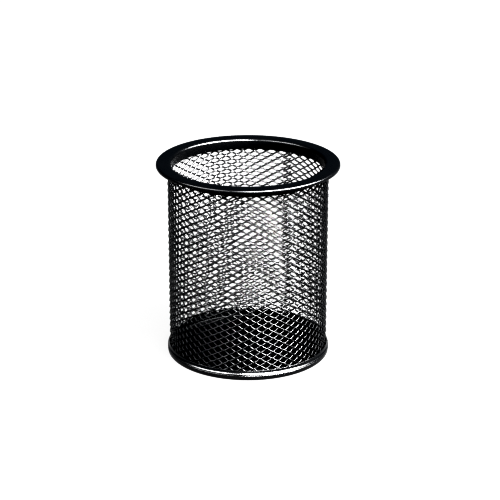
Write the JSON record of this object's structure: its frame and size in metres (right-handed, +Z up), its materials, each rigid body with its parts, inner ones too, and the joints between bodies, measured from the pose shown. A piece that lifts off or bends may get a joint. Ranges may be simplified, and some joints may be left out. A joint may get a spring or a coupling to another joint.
{
  "type": "pen holder cup",
  "caption": "Round desk cup of expanded steel mesh with a flat flanged rim, a solid floor pan and a foot ring; holds pens, pencils and scissors upright.",
  "frame": {"origin": "centre of the underside, on the surface the cup stands on", "axes": "+Z up along the cup's axis through the mouth, -Y towards the front, +X to the right seen from the front"},
  "size_m": [0.0912, 0.0912, 0.1],
  "materials": {
    "mesh_paint": "semi-gloss black powder coat on raised expanded steel mesh",
    "rim_paint": "semi-gloss black powder coat",
    "pan_paint": "semi-gloss black powder coat",
    "foot_paint": "gloss black powder coat"
  },
  "bodies": {
    "root": {"mesh_wall": "mesh_paint", "top_rim": "rim_paint", "base_pan": "pan_paint", "foot_ring": "foot_paint"}
  },
  "joints": []
}
